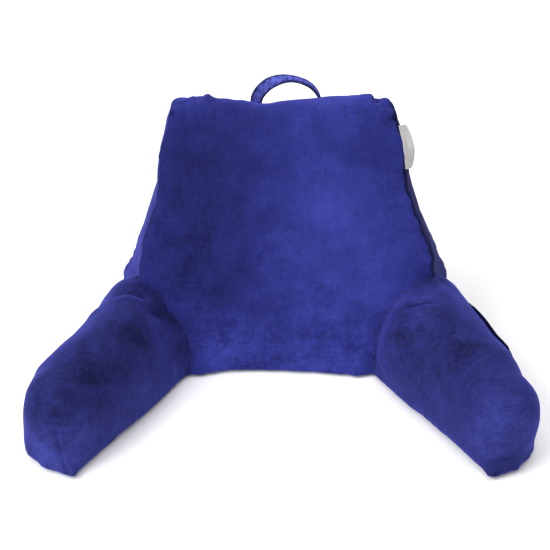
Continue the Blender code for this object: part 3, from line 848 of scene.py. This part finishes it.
def cloth_grid(name, counts):
    """A flat sheet of this many faces each way, from -0.5 to 0.5, to be laid out as cloth."""
    bpy.ops.object.select_all(action="DESELECT")
    bpy.ops.mesh.primitive_grid_add(x_subdivisions=counts[0], y_subdivisions=counts[1], size=1)
    piece = bpy.context.active_object
    piece.name = name
    return piece


def thicken(piece, thickness):
    """Gives a sheet its thickness, and rounds it."""
    solid = piece.modifiers.new("cloth", "SOLIDIFY")
    solid.thickness = thickness
    solid.offset = 1
    smooth = piece.modifiers.new("smooth", "SUBSURF")
    smooth.levels = 1
    smooth.render_levels = 1
    apply_modifiers(piece)


POCKET_AXIS = Vector((0.1832, -0.0116, 0.035))  # inside the right arm
POCKET_FORWARDS = Vector((0.5664, -0.8241, 0))  # the way the arm points
POCKET_OUTWARDS = Vector((0.8241, 0.5664, 0))
POCKET_FROM = 0.014  # along the arm
POCKET_TO = 0.110
POCKET_FOOT_TURN = math.radians(-17)  # round the arm
POCKET_MOUTH_TURN = math.radians(46)
POCKET_NARROW = 0.07  # share of its width that is lost at its foot
POCKET_NARROW_TO = 0.16  # share of its height over which it widens
POCKET_OFF = 0.0008  # off the arm's skin
POCKET_PUFF = 0.0010
POCKET_PUFF_IN = 0.12  # share of its size from its edge to the full puff
POCKET_STITCH = 0.0005  # depth of the row of stitches
POCKET_STITCH_IN = 0.05
POCKET_STITCH_WIDTH = 0.014
POCKET_GAPE = 0.0022  # how far its mouth stands open
POCKET_GAPE_ROUND = 0.9
POCKET_GAPE_FADE = 5
POCKET_HEM = 0.0007
POCKET_HEM_WIDTH = 0.05
POCKET_HEM_ENDS = 8  # the hem dies away at its ends, faster with more
# painted shade over the pocket, and a painted shadow in its open mouth
POCKET_PAINTED_SHADE = -0.4
POCKET_MOUTH_PAINTED_SHADOW = 1.6
POCKET_MOUTH_WIDTH = 0.07
POCKET_CLOTH = 0.0011
POCKET_GRID = (60, 48)


def build_pocket(arm):
    """A panel laid on the outside of the arm, sewn on at three sides, its mouth a little open."""
    tree = tree_of(arm)
    piece = cloth_grid("side_pocket", POCKET_GRID)
    raw = points_of(piece)
    places, light = np.zeros_like(raw), np.zeros(len(raw))
    for i, (x, y, _) in enumerate(raw):
        along, up = x + 0.5, y + 0.5
        narrow = 1 - POCKET_NARROW * max(0, 1 - up / POCKET_NARROW_TO) ** 2
        origin = POCKET_AXIS + POCKET_FORWARDS * mix(POCKET_FROM, POCKET_TO, 0.5 + x * narrow)
        turn = mix(POCKET_FOOT_TURN, POCKET_MOUTH_TURN, up)
        aim = POCKET_OUTWARDS * math.cos(turn) + Vector((0, 0, math.sin(turn)))
        hit, way, _, _ = tree.ray_cast(origin, aim)
        if way.dot(aim) < 0:
            way = -way
        inside = min(along, 1 - along, up)
        rise = POCKET_OFF + POCKET_PUFF * min(1, inside / POCKET_PUFF_IN)
        rise += POCKET_GAPE * math.sin(math.pi * along) ** POCKET_GAPE_ROUND * up**POCKET_GAPE_FADE
        ends = min(1, POCKET_HEM_ENDS * min(along, 1 - along))
        rise += POCKET_HEM * bell(1 - up, POCKET_HEM_WIDTH) * ends
        rise -= POCKET_STITCH * bell(inside - POCKET_STITCH_IN, POCKET_STITCH_WIDTH)
        places[i] = hit + way * rise
        # painted shadow inside the open mouth
        light[i] = POCKET_PAINTED_SHADE - POCKET_MOUTH_PAINTED_SHADOW * bell(1 - up, POCKET_MOUTH_WIDTH)
    put_points(piece, places)
    write(piece, "nap_and_painted_light", light)
    write(piece, "ruffled", np.full(len(light), RUFFLED_ARMS))
    thicken(piece, POCKET_CLOTH)
    finish_piece(piece, "pocket", SHADED_VELOUR)


# ---------------------------------------------------------------- the pieces
back_cushion = build_cushion(CUSHIONS[0], None)
build_cushion(CUSHIONS[1], back_cushion)
right_arm = build_cushion(CUSHIONS[2], back_cushion)
build_strap()
build_tab(back_cushion)
build_pocket(right_arm)


# ---------------------------------------------------------------- floor, light and camera
FLOOR_SIZE = 14.0
FLOOR_Z = -0.0004  # just under what stands on it
FLOOR_COLOUR = (0.95, 0.95, 0.95, 1)
FLOOR_ROUGH = 0.9
WORLD_LIGHT = 0.70
Lamp = namedtuple("Lamp", "name place aim size power")
LAMPS = (
    Lamp("soft_key", (-2.2, -0.9, 2.2), (0, 0.05, 0.1), 2.2, 85),
    Lamp("soft_top", (0.2, 0.6, 3.4), (0, 0.2, 0), 3.0, 60),
)
CAMERA_PLACE = (-0.0066, -1.5247, 1.3141)
CAMERA_TILT = math.radians(52.7)
CAMERA_LENS = 99.88  # millimetres, as is its sensor
CAMERA_SENSOR = 36
CAMERA_CLIP = 0.05


def build_floor():
    bpy.ops.object.select_all(action="DESELECT")
    bpy.ops.mesh.primitive_plane_add(size=FLOOR_SIZE, location=(0, 0, FLOOR_Z))
    floor = bpy.context.active_object
    floor.name = "floor"
    floor.data.transform(floor.matrix_world)
    floor.matrix_world.identity()
    shop = Shop("pale_floor")
    shop.shader.inputs["Base Color"].default_value = FLOOR_COLOUR
    shop.shader.inputs["Roughness"].default_value = FLOOR_ROUGH
    floor.data.materials.append(shop.material)


def build_studio():
    world = bpy.data.worlds.new("studio")
    world.use_nodes = True
    world.node_tree.nodes["Background"].inputs["Color"].default_value = (1, 1, 1, 1)
    world.node_tree.nodes["Background"].inputs["Strength"].default_value = WORLD_LIGHT
    bpy.context.scene.world = world
    for row in LAMPS:
        lamp = bpy.data.lights.new(row.name, "AREA")
        lamp.size = row.size
        lamp.energy = row.power
        held = bpy.data.objects.new(row.name, lamp)
        held.location = row.place
        way = Vector(row.aim) - Vector(row.place)
        held.rotation_euler = way.to_track_quat("-Z", "Y").to_euler()
        bpy.context.scene.collection.objects.link(held)
    bpy.context.scene.view_settings.view_transform = "Standard"


def build_camera():
    lens = bpy.data.cameras.new("camera")
    lens.lens = CAMERA_LENS
    lens.sensor_width = CAMERA_SENSOR
    lens.clip_start = CAMERA_CLIP
    held = bpy.data.objects.new("camera", lens)
    held.location = CAMERA_PLACE
    held.rotation_euler = (CAMERA_TILT, 0, 0)
    bpy.context.scene.collection.objects.link(held)
    bpy.context.scene.camera = held


build_floor()
build_studio()
build_camera()

bpy.context.view_layer.update()
